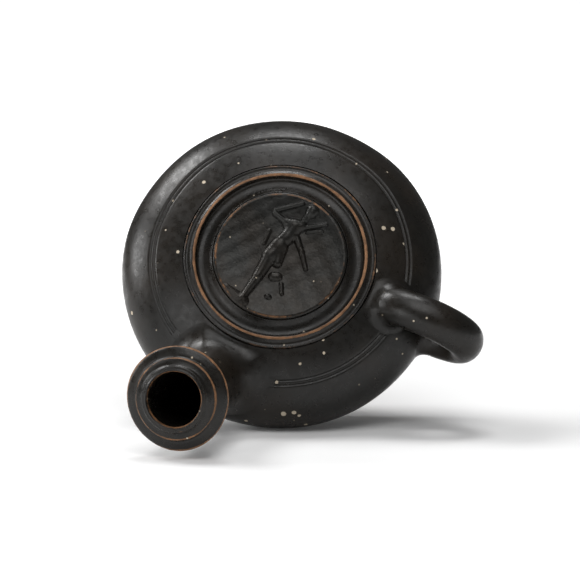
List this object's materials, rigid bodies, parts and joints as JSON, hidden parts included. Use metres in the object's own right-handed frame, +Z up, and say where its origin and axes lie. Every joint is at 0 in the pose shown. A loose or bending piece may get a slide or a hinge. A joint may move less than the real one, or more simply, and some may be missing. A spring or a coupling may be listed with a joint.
{
  "type": "guttus",
  "caption": "Closed round clay pouring vessel with a relief medallion on top, a leaning spout with a flared mouth, a ring handle and a foot ring, in black glaze.",
  "frame": {"origin": "on the surface that the vessel stands on, under the middle of its footprint, spout and handle included", "axes": "+Z up along the vessel's axis, -Y towards the spout, +X towards the handle, which stands 5 degrees past it"},
  "size_m": [0.1232, 0.1314, 0.0803],
  "materials": {
    "glaze_body": "satin black glaze with brown patches and small chips",
    "glaze_foot": "satin black glaze, worn to clay on the tread",
    "glaze_frame": "satin black glaze, worn to orange clay on the raised edge",
    "glaze_medallion": "grey-black glaze with a dull metallic sheen",
    "glaze_spout": "satin black glaze",
    "glaze_mouth": "satin black glaze, worn to orange clay on the edges",
    "glaze_handle": "satin black glaze"
  },
  "bodies": {
    "root": {"foot_ring": "glaze_foot", "lower_bowl": "glaze_body", "shoulder": "glaze_body", "medallion_frame": "glaze_frame", "medallion": "glaze_medallion", "neck": "glaze_spout", "neck_luting": "glaze_spout", "mouth": "glaze_mouth", "handle": "glaze_handle", "handle_upper_luting": "glaze_handle", "handle_lower_luting": "glaze_handle"}
  },
  "joints": []
}
